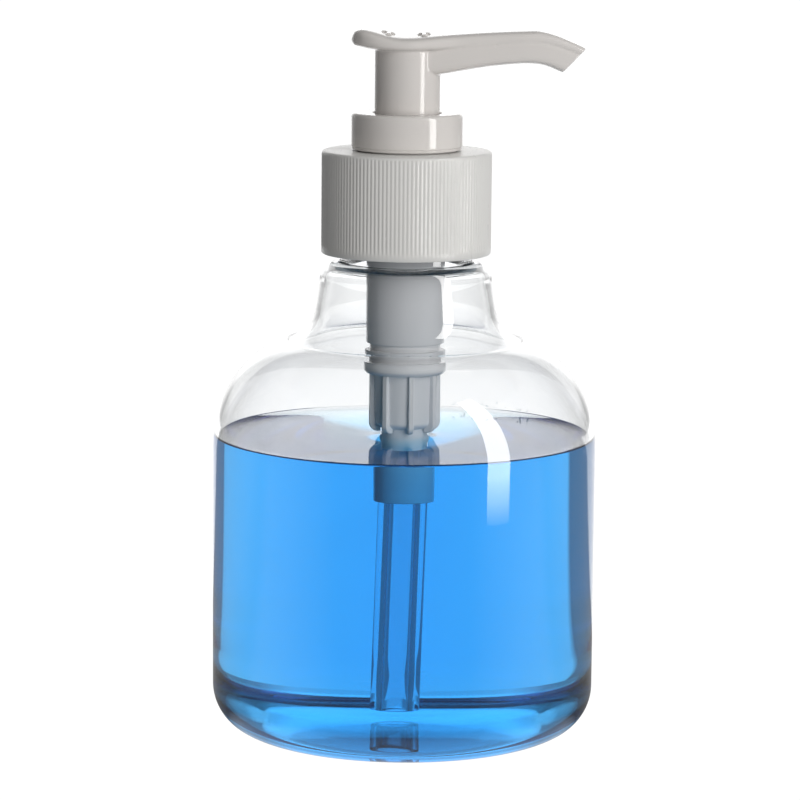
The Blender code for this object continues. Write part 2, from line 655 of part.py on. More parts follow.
def build():
    """Make every piece and hang the moving ones on their axes."""
    clear_scene()
    make_bottle()
    make_soap()
    pump = axis_empty("pump_axis")
    adopt(pump, [make_housing(), make_collar(), make_gasket()])
    adopt(pump, [make_dip_tube(), make_stem_seal(), make_spring()])
    closure = axis_empty("closure_axis", pump)
    adopt(closure, [make_closure()])
    ball = axis_empty("ball_axis", pump)
    adopt(ball, [make_ball()])
    plunger = axis_empty("plunger_axis", pump)
    adopt(plunger, [make_valve_rod()])
    piston = axis_empty("piston_axis", plunger)
    adopt(piston, [make_piston()])
    head = axis_empty("head_axis", plunger)
    adopt(head, [make_stem(), make_actuator()])


build()
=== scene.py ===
"""Soap pump dispenser: the looks of the clear bottle, its blue soap and the white pump.

The bottle stands on z = 0 with its axis on Z, and the spout points along +X.
Sizes of pieces are in millimetres, and MM turns them into metres as each mesh is made.
The studio, its lamps and the camera are in metres, and so are all coordinates in materials.
Outlines of turned pieces are (radius, height) pairs.
"""

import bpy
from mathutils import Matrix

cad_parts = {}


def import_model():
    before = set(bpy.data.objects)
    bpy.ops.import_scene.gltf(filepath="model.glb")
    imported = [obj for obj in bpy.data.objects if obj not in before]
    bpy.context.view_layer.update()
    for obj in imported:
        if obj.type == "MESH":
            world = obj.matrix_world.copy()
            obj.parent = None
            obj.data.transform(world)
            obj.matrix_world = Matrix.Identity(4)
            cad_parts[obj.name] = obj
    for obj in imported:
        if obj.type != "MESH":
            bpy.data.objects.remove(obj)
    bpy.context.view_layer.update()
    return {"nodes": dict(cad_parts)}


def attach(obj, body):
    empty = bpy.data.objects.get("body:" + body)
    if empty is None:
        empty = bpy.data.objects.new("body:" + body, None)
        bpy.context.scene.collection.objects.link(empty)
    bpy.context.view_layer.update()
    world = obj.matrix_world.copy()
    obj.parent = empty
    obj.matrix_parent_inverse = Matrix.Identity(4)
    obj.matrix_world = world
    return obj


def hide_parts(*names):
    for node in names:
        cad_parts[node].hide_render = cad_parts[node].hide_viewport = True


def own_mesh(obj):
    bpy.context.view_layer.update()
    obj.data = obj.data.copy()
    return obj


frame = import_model()

import math
import random

import bmesh
import bpy
import numpy as np
from mathutils import Matrix, Vector

MM = 0.001

# Bottle
BODY_RADIUS = 36.3
WALL = 1.0
HEEL_CENTRE = 28.3
HEEL_HEIGHT = 8.6
INNER_HEEL_CENTRE = 24.6
DOME_Z = 54.5
DOME_RADIUS = 18.2
DOME_HEIGHT = 20.8
CROWN_ANGLE = 77.0
FINISH_RADIUS = 12.55
FINISH_FOOT = 90.0
LAND_Z = 106.3
BORE_RADIUS = 10.85
LIQUID_Z = 56.0
SOCKET_RADIUS = 4.4   # of the housing's tube socket, where the soap's surface meets it

# Thread, a 28 mm finish with six threads to the inch
THREAD_LEAD = 25.4 / 6
THREAD_TURNS = 1.5
THREAD_START_Z = 96.0
THREAD_DEPTH = 1.15
THREAD_HALF_WIDTH = 1.1

# Closure
CLOSURE_RADIUS = 16.0
CLOSURE_BOTTOM = 91.3
CLOSURE_TOP = 110.6
CLOSURE_CEILING = 109.3
CLOSURE_INSIDE = 14.15
CLOSURE_HOLE = 9.6
RIB_COUNT = 130
RIB_DEPTH = 0.11
RIB_BAND = 1.25       # smooth band under the ribs

# Return spring
SPRING_WIRE = 0.45
SPRING_RADIUS = 4.9
SPRING_TURNS = 8.5
SPRING_BOTTOM = 70.25
SPRING_TOP = 92.65

# Dip tube
TUBE_BORE = 2.5
TUBE_RADIUS = 3.5
TUBE_FOOT = 4.9
TUBE_TOP = 58.0
TUBE_LEAN = 1.3
TUBE_LEAN_Z = 51.7

# Spout
DUCT_RADIUS = 1.4
SKIN_VOXEL = 0.19     # of the remesh that blends the head's parts

# How much each clear material bends light
PET_IOR = 1.575
SOAP_IOR = 1.34
TUBE_IOR = 1.51
TUBE_IN_SOAP_IOR = 1.127   # the tube's outer faces bend light against soap, not against air
PLASTIC_IOR = 1.49

# Studio, in metres, watts and degrees
FLOOR_Z = -0.0002
FLOOR_REACH = 4.0
BACKDROP_Y = 0.75
BACKDROP_REACH = 0.72
BACKDROP_TOP = 0.5
ROOM_RADIUS = 1.7
ROOM_TOP = 1.6
ROOM_FOOT = -0.0005
ROOM_WALLS = 8
ROOM_GLOW = 0.06
PAPER_WHITE = 1.05
KEY_DISTANCE = 0.259
KEY_ANGLE = 54.1
KEY_HALF_WIDTH = 0.032
KEY_FOOT = 0.001
KEY_TOP = 0.42
LAMP_TARGET = (0.0, 0.0, 0.08)
LAMPS = (   # name, place, width, height and power
    ("key", (0.235, -0.385, 0.2), 0.3, 0.5, 1.7),
    ("backdrop_lamp", (0.0, 0.75, 0.2), 0.99, 0.6, 2.6),
    ("table_bounce", (0.0, 0.0, -0.3), 1.4, 1.4, 2.1),
    ("left_wall", (-0.8, -0.1, 0.3), 0.8, 0.8, 0.25),
    ("right_wall", (0.8, 0.2, 0.3), 0.8, 0.8, 0.75),
    ("overhead", (0.1, 0.1, 0.9), 1.0, 1.0, 1.9))

# Camera: millimetres for the lens, metres for its place and radians for its turns
LENS = 165.75
CAMERA_SPOT = (-0.000877, -0.69006, 0.17384)
CAMERA_DIP = 0.1591
CAMERA_ROLL = 0.0089


# ---------------------------------------------------------------- mesh tools

def arc(centre, radii, start, end, count):
    """Points on an ellipse about centre, from start to end in degrees, both ends included."""
    points = []
    for step in range(count + 1):
        angle = math.radians(start + (end - start) * step / count)
        points.append((centre[0] + radii[0] * math.cos(angle), centre[1] + radii[1] * math.sin(angle)))
    return points


def bend(start, corner, end, count):
    """Points on a smooth bend that leaves start towards corner and arrives at end from it."""
    points = []
    for step in range(count + 1):
        t = step / count
        w = ((1 - t) ** 2, 2 * t * (1 - t), t ** 2)
        points.append((w[0] * start[0] + w[1] * corner[0] + w[2] * end[0],
                       w[0] * start[1] + w[1] * corner[1] + w[2] * end[1]))
    return points


def filled(outline, spacing):
    """The outline with points added along its long stretches, about spacing apart."""
    points = [outline[0]]
    for a, b in zip(outline, outline[1:]):
        count = max(1, math.ceil(math.dist(a, b) / spacing))
        for step in range(1, count + 1):
            t = step / count
            points.append((a[0] + (b[0] - a[0]) * t, a[1] + (b[1] - a[1]) * t))
    return points


def rounded(corners, count=4):
    """A closed outline from (x, z, rounding) corners, each cut back and bent by its rounding."""
    points = []
    total = len(corners)
    for index, (x, z, size) in enumerate(corners):
        if size <= 0:
            points.append((x, z))
            continue
        before = Vector(corners[index - 1][:2]) - Vector((x, z))
        after = Vector(corners[(index + 1) % total][:2]) - Vector((x, z))
        first = Vector((x, z)) + before.normalized() * size
        last = Vector((x, z)) + after.normalized() * size
        points += bend(tuple(first), (x, z), tuple(last), count)
    return points


def place(name, mesh):
    """Link a mesh as a piece of the scene."""
    item = bpy.data.objects.new(name, mesh)
    bpy.context.scene.collection.objects.link(item)
    return item


def revolved(name, outline, steps, closed=True, shape=None, sharp=35):
    """Turn an outline about Z into a mesh. shape moves each point, given (radius, height, angle)."""
    angles = np.arange(steps) * math.tau / steps
    radius = np.array([p[0] for p in outline])[:, None] * np.ones(steps)[None, :]
    height = np.array([p[1] for p in outline])[:, None] * np.ones(steps)[None, :]
    if shape is not None:
        radius, height = shape(radius, height, np.broadcast_to(angles, radius.shape))
    grid = np.stack([radius * np.cos(angles), radius * np.sin(angles), height], axis=2) * MM
    verts, index = [], np.zeros(radius.shape, int)
    for row in range(len(outline)):
        if outline[row][0] == 0.0:
            index[row, :] = len(verts)
            verts.append(tuple(grid[row, 0]))
        else:
            index[row, :] = np.arange(len(verts), len(verts) + steps)
            verts += [tuple(p) for p in grid[row]]
    rows = [(i, i + 1) for i in range(len(outline) - 1)]
    if closed:
        rows.append((len(outline) - 1, 0))
    faces = []
    for low, high in rows:
        for k in range(steps):
            n = (k + 1) % steps
            corner = [index[low, k], index[high, k], index[high, n], index[low, n]]
            unique = list(dict.fromkeys(int(c) for c in corner))
            if len(unique) > 2:
                faces.append(unique)
    return solid(name, verts, faces, sharp)


def solid(name, verts, faces, sharp=35):
    """A mesh piece with outward normals, smooth but for edges sharper than the given degrees."""
    mesh = bpy.data.meshes.new(name)
    mesh.from_pydata(verts, [], faces)
    shape = bmesh.new()
    shape.from_mesh(mesh)
    bmesh.ops.recalc_face_normals(shape, faces=shape.faces)
    if shape.calc_volume(signed=True) < 0:
        bmesh.ops.reverse_faces(shape, faces=shape.faces)
    shape.to_mesh(mesh)
    shape.free()
    finish_shading(mesh, sharp)
    return place(name, mesh)


def tube_faces(rows, ring):
    """Faces round a tube of rows loops with ring points each, and a cap on both ends."""
    faces = []
    for row in range(rows - 1):
        for k in range(ring):
            n = (k + 1) % ring
            a, b = row * ring, (row + 1) * ring
            faces.append([a + k, b + k, b + n, a + n])
    faces.append(list(range(ring)))
    faces.append([(rows - 1) * ring + k for k in reversed(range(ring))])
    return faces


def finish_shading(mesh, sharp):
    """Shade smooth but for edges sharper than the given degrees."""
    mesh.polygons.foreach_set("use_smooth", [True] * len(mesh.polygons))
    mesh.set_sharp_from_angle(angle=math.radians(sharp))
    mesh.update()


def applied(item, sharp=35):
    """Replace a piece's mesh by the one its modifiers give."""
    bpy.context.view_layer.update()
    graph = bpy.context.evaluated_depsgraph_get()
    mesh = bpy.data.meshes.new_from_object(item.evaluated_get(graph))
    item.modifiers.clear()
    item.data = mesh
    finish_shading(mesh, sharp)


def combine(item, others, operation):
    """Boolean several pieces into item and remove them."""
    for other in others:
        change = item.modifiers.new(operation, "BOOLEAN")
        change.operation = operation
        change.object = other
        change.solver = "EXACT"
    applied(item)
    for other in others:
        bpy.data.objects.remove(other, do_unlink=True)


# ---------------------------------------------------------------- materials

class Look:
    """A material's node tree with short ways to add what every surface here uses."""

    def __init__(self, name):
        self.material = bpy.data.materials.new(name)
        self.material.use_nodes = True
        self.tree = self.material.node_tree
        self.tree.nodes.clear()
        self.out = self.tree.nodes.new("ShaderNodeOutputMaterial")
        self.place = self.tree.nodes.new("ShaderNodeTexCoord").outputs["Object"]

    def node(self, kind, **inputs):
        """A new node with its inputs set or linked, spaces in their names written as underscores."""
        made = self.tree.nodes.new(kind)
        for key, value in inputs.items():
            self.feed(made.inputs[key.replace("_", " ")], value)
        return made

    def feed(self, socket, value):
        if isinstance(value, bpy.types.NodeSocket):
            self.tree.links.new(value, socket)
        else:
            socket.default_value = value

    def noise(self, scale, detail=3.0, stretch=(1, 1, 1), rough=0.5, distortion=0.0):
        """A noise pattern in the piece's own coordinates. scale is in cycles per metre."""
        spot = self.node("ShaderNodeMapping", Vector=self.place, Scale=stretch)
        made = self.node("ShaderNodeTexNoise", Vector=spot.outputs[0], Scale=scale, Detail=detail,
                         Roughness=rough, Distortion=distortion)
        return made.outputs["Fac"]

    def spread(self, value, low, high, start=0.3, end=0.7):
        """Map a pattern from start-end to low-high."""
        made = self.tree.nodes.new("ShaderNodeMapRange")
        self.feed(made.inputs["Value"], value)
        for key, number in (("From Min", start), ("From Max", end), ("To Min", low), ("To Max", high)):
            made.inputs[key].default_value = number
        return made.outputs["Result"]

    def maths(self, operation, a, b):
        made = self.tree.nodes.new("ShaderNodeMath")
        made.operation = operation
        self.feed(made.inputs[0], a)
        self.feed(made.inputs[1], b)
        return made.outputs[0]

    def colours(self, factor, first, second):
        made = self.tree.nodes.new("ShaderNodeMix")
        made.data_type = "RGBA"
        self.feed(made.inputs["Factor"], factor)
        for key, colour in (("A", first), ("B", second)):
            socket = [s for s in made.inputs if s.name == key and s.type == "RGBA"][0]
            if isinstance(colour, bpy.types.NodeSocket):
                self.tree.links.new(colour, socket)
            else:
                socket.default_value = (*colour, 1.0)
        return [s for s in made.outputs if s.type == "RGBA"][0]

    def bump(self, height, distance, strength=1.0, over=None):
        """A bump map of the given height in millimetres, on top of another one."""
        made = self.node("ShaderNodeBump", Height=height, Strength=strength, Distance=distance * MM)
        if over is not None:
            self.tree.links.new(over, made.inputs["Normal"])
        return made.outputs[0]

    def surface(self, shader):
        self.tree.links.new(shader, self.out.inputs["Surface"])
        return self.material

    def lit(self, level, tint=(1.0, 1.0, 1.0)):
        """A sheet that glows with a pattern of the given level."""
        light = self.node("ShaderNodeEmission", Strength=level)
        light.inputs["Color"].default_value = (*tint, 1.0)
        return self.surface(light.outputs[0])


def plastic(name, light, dark, gloss, grain):
    """Moulded plastic: faint colour drift, handling scuffs, flow lines and a fine skin."""
    look = Look(name)
    drift = look.noise(90, 2.0, (1, 1, 0.5))
    dust = look.noise(1600, 4.0)
    scuffs = look.noise(700, 5.0, (1, 1, 0.08), 0.7)
    marks = look.noise(260, 6.0, (0.25, 1, 1), 0.65, 0.6)
    colour = look.colours(look.spread(drift, 0.0, 1.0), light, dark)
    grime = look.spread(look.maths("MULTIPLY", dust, marks), 0.0, 0.25, 0.33, 0.5)
    colour = look.colours(grime, colour, tuple(c * 0.86 for c in dark))
    rough = look.maths("ADD", look.spread(scuffs, gloss - 0.05, gloss + 0.06),
                       look.spread(marks, 0.0, 0.09, 0.5, 0.75))
    skin = look.bump(dust, grain)
    skin = look.bump(scuffs, 0.006, 0.6, skin)
    skin = look.bump(drift, 0.05, 0.5, skin)
    shader = look.node("ShaderNodeBsdfPrincipled", Base_Color=colour, Roughness=rough, Normal=skin,
                       IOR=PLASTIC_IOR)
    return look.surface(shader.outputs[0])


def glassy(name, tint, ior, wave, smear, lamp_share, absorb=None, clear=1.0):
    """A clear body. Rays to the lamps pass straight through it, so that what is inside is lit."""
    look = Look(name)
    swell = look.noise(55, 2.0, (1, 1, 0.7))
    ripple = look.noise(420, 3.0, (1, 1, 0.25))
    hands = look.noise(160, 6.0, (1, 1, 0.6), 0.65, 0.8)
    skin = look.bump(swell, wave)
    skin = look.bump(ripple, wave * 0.12, 1.0, skin)
    rough = look.spread(hands, 0.0, smear, 0.55, 0.8)
    colour = look.colours(look.spread(swell, 0.0, 1.0), tint, tuple(c * 0.985 for c in tint))
    shader = look.node("ShaderNodeBsdfPrincipled", Base_Color=colour, Roughness=rough, Normal=skin, IOR=ior)
    shader.inputs["Transmission Weight"].default_value = clear
    through = look.node("ShaderNodeBsdfTransparent")
    through.inputs["Color"].default_value = (lamp_share, lamp_share, lamp_share, 1.0)
    path = look.node("ShaderNodeLightPath")
    mixed = look.node("ShaderNodeMixShader")
    look.feed(mixed.inputs[0], path.outputs["Is Shadow Ray"])
    look.feed(mixed.inputs[1], shader.outputs[0])
    look.feed(mixed.inputs[2], through.outputs[0])
    if absorb is not None:
        colour, density = absorb
        depth = look.node("ShaderNodeVolumeAbsorption", Density=density)
        depth.inputs["Color"].default_value = (*colour, 1.0)
        look.tree.links.new(depth.outputs[0], look.out.inputs["Volume"])
    return look.surface(mixed.outputs[0])


def metal(name, colour, gloss):
    """Drawn steel: fine lines along the wire, small stains and a little dulling."""
    look = Look(name)
    lines = look.noise(2500, 3.0, (1, 1, 0.2))
    stains = look.noise(300, 5.0, (1, 1, 1), 0.6, 0.5)
    tint = look.colours(look.spread(stains, 0.0, 1.0, 0.5, 0.8), colour, tuple(c * 0.7 for c in colour))
    rough = look.spread(lines, gloss, gloss + 0.15)
    skin = look.bump(lines, 0.004)
    shader = look.node("ShaderNodeBsdfPrincipled", Base_Color=tint, Roughness=rough, Normal=skin)
    shader.inputs["Metallic"].default_value = 1.0
    return look.surface(shader.outputs[0])


def dress(item, material):
    item.data.materials.clear()
    item.data.materials.append(material)


# ---------------------------------------------------------------- bottle and soap

def shoulder_corner(x, across, up):
    """Where the dome's tangent at the crown angle meets the neck's side at x."""
    turn = math.radians(CROWN_ANGLE)
    px = BODY_RADIUS - DOME_RADIUS + across * math.cos(turn)
    pz = DOME_Z + up * math.sin(turn)
    return x, pz + (px - x) * (up * math.cos(turn)) / (across * math.sin(turn))


def bottle_outside():
    """The bottle's outside from the land at the mouth to the middle of the base."""
    line = [(FINISH_RADIUS - 0.5, LAND_Z)] + bend((FINISH_RADIUS - 0.4, LAND_Z), (FINISH_RADIUS, LAND_Z),
                                                  (FINISH_RADIUS, LAND_Z - 0.5), 3)
    line += [(FINISH_RADIUS, FINISH_FOOT)]
    line += bend((FINISH_RADIUS, FINISH_FOOT), (FINISH_RADIUS, 89.7), (13.0, 89.7), 3)
    line += bend((13.9, 89.7), (15.85, 89.7), (16.2, 86.8), 18)
    crown = arc((BODY_RADIUS - DOME_RADIUS, DOME_Z), (DOME_RADIUS, DOME_HEIGHT), CROWN_ANGLE, 0, 60)
    line += bend((17.1, 80.6), shoulder_corner(17.75, DOME_RADIUS, DOME_HEIGHT), crown[0], 28)
    line += crown
    line += arc((HEEL_CENTRE, HEEL_HEIGHT), (BODY_RADIUS - HEEL_CENTRE, HEEL_HEIGHT), 0, -90, 36)
    line += bend((25.0, 0.0), (21.5, 0.0), (20.0, 0.55), 12)
    line += bend((19.6, 0.7), (18.6, 0.95), (16.0, 0.97), 5)
    line += [(0.0, 1.05)]
    return line


def bottle_inside(outset):
    """The inside of the bottle's floor and heel, pushed out into the wall by outset."""
    floor = 2.5 - outset
    line = [(0.0, floor), (15.0, floor - 0.4)]
    line += bend((18.0, floor - 0.5), (21.5, 1.65 - outset), (INNER_HEEL_CENTRE, 1.6 - outset), 14)
    side = BODY_RADIUS - WALL + outset
    return line + arc((INNER_HEEL_CENTRE, 12.0), (side - INNER_HEEL_CENTRE, 10.4 + outset), -87, 0, 40)


def bottle_upper_inside():
    """The inside of the dome, the neck and the bore, from the top of the straight side to the land."""
    size = (DOME_RADIUS - WALL, DOME_HEIGHT - WALL)
    line = arc((BODY_RADIUS - DOME_RADIUS, DOME_Z), size, 1.5, CROWN_ANGLE, 56)
    line += bend(line[-1], shoulder_corner(16.65, *size), (16.0, 80.6), 26)
    line += bend((15.05, 86.2), (14.95, 88.75), (12.9, 88.75), 14)
    line += bend((11.6, 88.75), (BORE_RADIUS, 88.8), (BORE_RADIUS, 89.6), 6)
    return line + [(BORE_RADIUS, LAND_Z - 0.3), (BORE_RADIUS + 0.25, LAND_Z)]


def threaded(radius, height, angle):
    """Raise the helical thread on the outside of the finish."""
    bead = np.zeros_like(radius)
    for turn in range(math.ceil(THREAD_TURNS) + 1):
        turned = angle / math.tau + turn
        off = np.abs(height - THREAD_START_Z - THREAD_LEAD * turned) / THREAD_HALF_WIDTH
        ends = np.clip(np.minimum(turned, THREAD_TURNS - turned) / 0.06, 0.0, 1.0)
        bead = np.maximum(bead, ends * np.sqrt(np.clip(1.0 - off ** 2, 0.0, 1.0)))
    on_finish = (np.abs(radius - FINISH_RADIUS) < 0.02) & (height > FINISH_FOOT)
    return np.where(on_finish, radius + THREAD_DEPTH * bead, radius), height


def make_bottle():
    """The bottle, with close rows of points on the finish, where the thread is raised."""
    inside = bottle_inside(0.0) + bottle_upper_inside()
    outside = bottle_outside()
    finish = [p for p in outside if p[1] > FINISH_FOOT - 0.1 and p[0] > FINISH_RADIUS - 0.01]
    rest = [p for p in outside if p not in finish]
    top = [p for p in rest if p[1] > FINISH_FOOT]
    below = [p for p in rest if p[1] <= FINISH_FOOT]
    outline = filled(inside, 1.5) + top + filled(finish, 0.22) + filled(below, 1.2)
    item = revolved("bottle_shell", outline, 240, closed=False, shape=threaded, sharp=60)
    dress(item, glassy("clear_pet", (0.985, 0.992, 0.995), PET_IOR, 0.006, 0.012, 0.97))
    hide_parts("bottle")
    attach(item, "bottle")


def make_soap():
    """The soap, which reaches a little into the wall, with a meniscus at the wall and at the socket."""
    reach, wall_rise, socket_rise, far = 0.08, 0.95, 0.7, 9.0
    wall_radius = BODY_RADIUS - WALL + reach
    line = bottle_inside(reach) + [(wall_radius, LIQUID_Z + wall_rise)]
    for step in range(1, 25):
        away = 0.18 * 1.26 ** step - 0.15
        if away <= far:
            line.append((wall_radius - away, LIQUID_Z + wall_rise * math.exp(-away / 1.5)))
    for step in range(24, -1, -1):
        away = 0.1 * 1.25 ** step - 0.1
        if away < far:
            line.append((SOCKET_RADIUS + away, LIQUID_Z + socket_rise * math.exp(-away / 1.4)))
    line += [(3.0, LIQUID_Z + socket_rise), (0.0, LIQUID_Z + socket_rise)]
    item = revolved("blue_soap", filled(line, 1.5), 240, closed=False, sharp=75)
    blue = ((0.003, 0.72, 1.0), 50.0)
    dress(item, glassy("soap_liquid", (1.0, 1.0, 1.0), SOAP_IOR, 0.0015, 0.004, 0.98, absorb=blue))
    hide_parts("soap_fill")
    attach(item, "bottle")


def make_droplets():
    """Small drops that cling to the inside of the wall just above the soap."""
    dice = random.Random(7)
    verts, faces = [], []
    for _ in range(22):
        angle = math.radians(dice.uniform(44, 78))
        rise = 1.15 + abs(dice.gauss(0, 0.45))
        size = dice.uniform(0.09, 0.2)
        height = LIQUID_Z + rise
        share = (height - DOME_Z) / (DOME_HEIGHT - WALL)
        radius = BODY_RADIUS - DOME_RADIUS + (DOME_RADIUS - WALL) * math.sqrt(1 - share ** 2)
        centre = Vector((radius * math.cos(angle), radius * math.sin(angle), height))
        turn = Matrix.Rotation(angle, 3, "Z")
        ball = bmesh.new()
        bmesh.ops.create_icosphere(ball, subdivisions=2, radius=1.0)
        first = len(verts)
        for vert in ball.verts:
            local = Vector((vert.co.x * size * 0.6, vert.co.y * size * 1.2, vert.co.z * size * 0.9))
            verts.append(tuple((centre + turn @ local) * MM))
        faces += [[first + v.index for v in face.verts] for face in ball.faces]
        ball.free()
    item = solid("wall_drops", verts, faces, 60)
    dress(item, glassy("soap_drops", (0.93, 0.98, 1.0), SOAP_IOR, 0.001, 0.004, 0.98))
    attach(item, "bottle")


# ---------------------------------------------------------------- pump

def ribbed(radius, height, angle):
    """Cut the grip ribs into the closure's outside."""
    wave = 0.5 + 0.5 * np.cos(angle * RIB_COUNT)
    hollow = 1.0 - wave ** 0.75
    low = CLOSURE_BOTTOM + RIB_BAND
    ends = np.clip((height - low) / 0.35, 0, 1) * np.clip((CLOSURE_TOP - 0.35 - height) / 0.5, 0, 1)
    outside = radius > CLOSURE_RADIUS - 0.35
    return np.where(outside, radius - RIB_DEPTH * hollow * ends, radius), height


def make_closure():
    side, top, foot = CLOSURE_RADIUS, CLOSURE_TOP, CLOSURE_BOTTOM
    outline = [(CLOSURE_HOLE, top)] + bend((side - 0.75, top), (side, top), (side, top - 0.75), 5)
    outline += [(side, top - 1.4), (side, 94.0), (side, foot + RIB_BAND + 0.35), (side, foot + RIB_BAND)]
    outline += [(side, foot + 0.2), (side - 0.15, foot), (CLOSURE_INSIDE + 0.2, foot)]
    outline += [(CLOSURE_INSIDE, foot + 0.2), (CLOSURE_INSIDE, CLOSURE_CEILING)]
    outline += [(CLOSURE_HOLE, CLOSURE_CEILING)]
    item = revolved("ribbed_closure", outline, RIB_COUNT * 8, shape=ribbed, sharp=50)
    dress(item, plastic("closure_plastic", (0.81, 0.80, 0.775), (0.785, 0.775, 0.75), 0.3, 0.003))
    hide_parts("closure")
    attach(item, "closure")
    thread = make_closure_thread()
    dress(thread, item.data.materials[0])
    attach(thread, "closure")


def make_closure_thread():
    """The closure's inner thread, a helical bead with tapered ends, rooted in its wall."""
    count, ring = 180, 10
    verts = []
    for step in range(count + 1):
        share = step / count
        angle = THREAD_TURNS * share * math.tau
        size = 1.05 * min(1.0, min(share, 1 - share) / 0.03 + 0.25)
        height = THREAD_START_Z - THREAD_LEAD / 2 + THREAD_LEAD * THREAD_TURNS * share
        for k in range(ring):
            around = k * math.tau / ring
            radius = CLOSURE_INSIDE + size * math.cos(around)
            verts.append((radius * math.cos(angle) * MM, radius * math.sin(angle) * MM,
                          (height + size * math.sin(around)) * MM))
    return solid("closure_thread", verts, tube_faces(count + 1, ring), 60)


def make_collar():
    outline = rounded([
        (6.5, 117.7, 0.35), (10.45, 117.7, 0.8), (10.45, 111.6, 0.1), (10.3, 111.35, 0.1),
        (10.3, 110.9, 0.1), (9.3, 110.9, 0.0), (9.3, 109.6, 0.1), (8.8, 109.6, 0.1), (8.8, 113.3, 0.2),
        (7.3, 113.3, 0.2), (7.3, 102.8, 0.2), (3.5, 102.8, 0.2), (3.5, 104.0, 0.2), (6.5, 104.0, 0.2)])
    item = revolved("pump_collar", outline, 160, sharp=40)
    dress(item, plastic("collar_plastic", (0.80, 0.765, 0.735), (0.77, 0.735, 0.705), 0.1, 0.0015))
    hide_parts("collar")
    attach(item, "pump")


def make_fin(number):
    """One fin of the valve chamber, with a rounded foot."""
    turn = math.radians(11.0 - 90.0 + 45.0 * number)
    root, out, top, foot, half = 4.7, 6.8, 69.3, 57.4, 0.5
    side = [(root, top), (out - 0.05, top), (out, 64.0)]
    side += arc((out - 1.6, foot + 1.6), (1.6, 1.6), 0, -90, 8) + [(root, foot)]
    verts, faces = [], []
    count = len(side)
    for level, y in ((0, -half), (1, -half + 0.12), (2, half - 0.12), (3, half)):
        shrink = 0.1 if level in (0, 3) else 0.0
        for r, z in side:
            r = r - shrink if r > root else r
            z = z + shrink if z < foot + 1.0 else z
            verts.append(((r * math.cos(turn) - y * math.sin(turn)) * MM,
                          (r * math.sin(turn) + y * math.cos(turn)) * MM, z * MM))
    for level in range(3):
        for k in range(count):
            n = (k + 1) % count
            a, b = level * count, (level + 1) * count
            faces.append([a + k, a + n, b + n, b + k])
    faces.append(list(range(count))[::-1])
    faces.append([3 * count + k for k in range(count)])
    return solid("fin_%d" % number, verts, faces, 40)


def make_housing():
    outline = rounded([
        (8.5, 113.0, 0.3), (8.5, 109.0, 0.1), (12.8, 109.0, 0.2), (12.8, 107.9, 0.2), (8.5, 107.9, 0.2),
        (8.5, 101.6, 0.3), (7.4, 100.4, 0.3), (7.42, 90.0, 0), (7.4, 73.5, 0.35), (6.75, 73.5, 0.15),
        (6.75, 71.5, 0.15), (7.7, 71.5, 0.25), (7.7, 69.4, 0.4), (7.1, 68.8, 0.2), (6.05, 68.8, 0.3),
        (5.85, 59.0, 0.5), (4.8, 58.2, 0.3), (4.35, 58.2, 0.2), (4.3, 45.5, 0.15), (4.15, 45.4, 0.1),
        (3.8, 45.4, 0), (3.8, 58.6, 0), (1.5, 58.6, 0), (1.5, 60.2, 0), (3.6, 61.9, 0), (3.6, 69.6, 0),
        (6.2, 69.6, 0), (6.2, 101.5, 0), (7.6, 102.2, 0), (7.6, 113.0, 0.2)])
    item = revolved("pump_housing", outline, 120, sharp=40)
    combine(item, [make_fin(number) for number in range(8)], "UNION")
    dress(item, plastic("housing_plastic", (0.80, 0.805, 0.82), (0.77, 0.778, 0.80), 0.15, 0.0015))
    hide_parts("housing")
    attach(item, "pump")


def make_spring():
    """The return spring, its end coils closed."""
    per_turn, ring = 28, 10
    count = round(SPRING_TURNS * per_turn)
    ends, rise = 1.0 / SPRING_TURNS, 2.2 * SPRING_WIRE
    verts = []
    for step in range(count + 1):
        share = step / count
        angle = share * SPRING_TURNS * math.tau
        open_part = min(max((share - ends) / (1.0 - 2.0 * ends), 0.0), 1.0)
        height = SPRING_BOTTOM + rise * min(share / ends, 1.0) + rise * max((share - 1.0 + ends) / ends, 0.0)
        height += (SPRING_TOP - SPRING_BOTTOM - 2.0 * rise) * open_part
        for k in range(ring):
            around = k * math.tau / ring
            radius = SPRING_RADIUS + SPRING_WIRE * math.cos(around)
            verts.append((radius * math.cos(angle) * MM, radius * math.sin(angle) * MM,
                          (height + SPRING_WIRE * math.sin(around)) * MM))
    item = solid("steel_spring", verts, tube_faces(count + 1, ring), 60)
    dress(item, metal("spring_steel", (0.62, 0.61, 0.6), 0.2))
    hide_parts("return_spring")
    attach(item, "pump")
    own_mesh(item)


